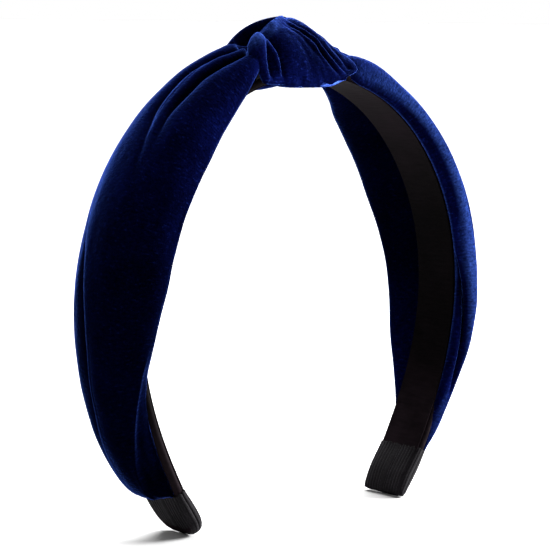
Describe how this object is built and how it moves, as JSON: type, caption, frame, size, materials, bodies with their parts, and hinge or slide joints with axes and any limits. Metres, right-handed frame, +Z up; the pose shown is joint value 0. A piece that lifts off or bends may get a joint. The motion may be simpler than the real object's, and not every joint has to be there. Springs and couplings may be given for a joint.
{
  "type": "knotted headband",
  "caption": "Child-size sprung headband: a satin-covered plastic strip with a padded velvet tube along its outer face, knotted over the crown.",
  "frame": {"origin": "midway between the two tips, on the level they stand on, on the strip's centre line", "axes": "+X ear to ear, towards the wearer's side on the right of the front view; -Y the front; +Z up towards the crown and its knot"},
  "size_m": [0.1337, 0.0363, 0.135],
  "materials": {
    "plastic_strip": "matt black moulded strip",
    "satin_ribbon": "black satin ribbon, fine weave, soft gloss",
    "grosgrain_ribbon": "black grosgrain ribbon, fine ribs along the tip",
    "velvet": "navy velvet, deep matt faces with blue sheen on folds",
    "wadding": "white polyester wadding",
    "hot_melt_glue": "translucent hot-melt glue"
  },
  "bodies": {
    "root": {"band_core": "plastic_strip", "outer_cover_ribbon": "satin_ribbon", "inner_lining_ribbon": "satin_ribbon", "end_wrap_left": "grosgrain_ribbon", "end_wrap_right": "grosgrain_ribbon", "velvet_leg_left": "velvet", "velvet_leg_right": "velvet", "knot_wrap": "velvet", "knot_back_loop": "velvet", "knot_strand_left": "velvet", "knot_strand_right": "velvet", "wadding_left": "wadding", "wadding_right": "wadding", "glue_strip_left": "hot_melt_glue", "glue_strip_right": "hot_melt_glue", "glue_spot_knot": "hot_melt_glue"}
  },
  "joints": []
}
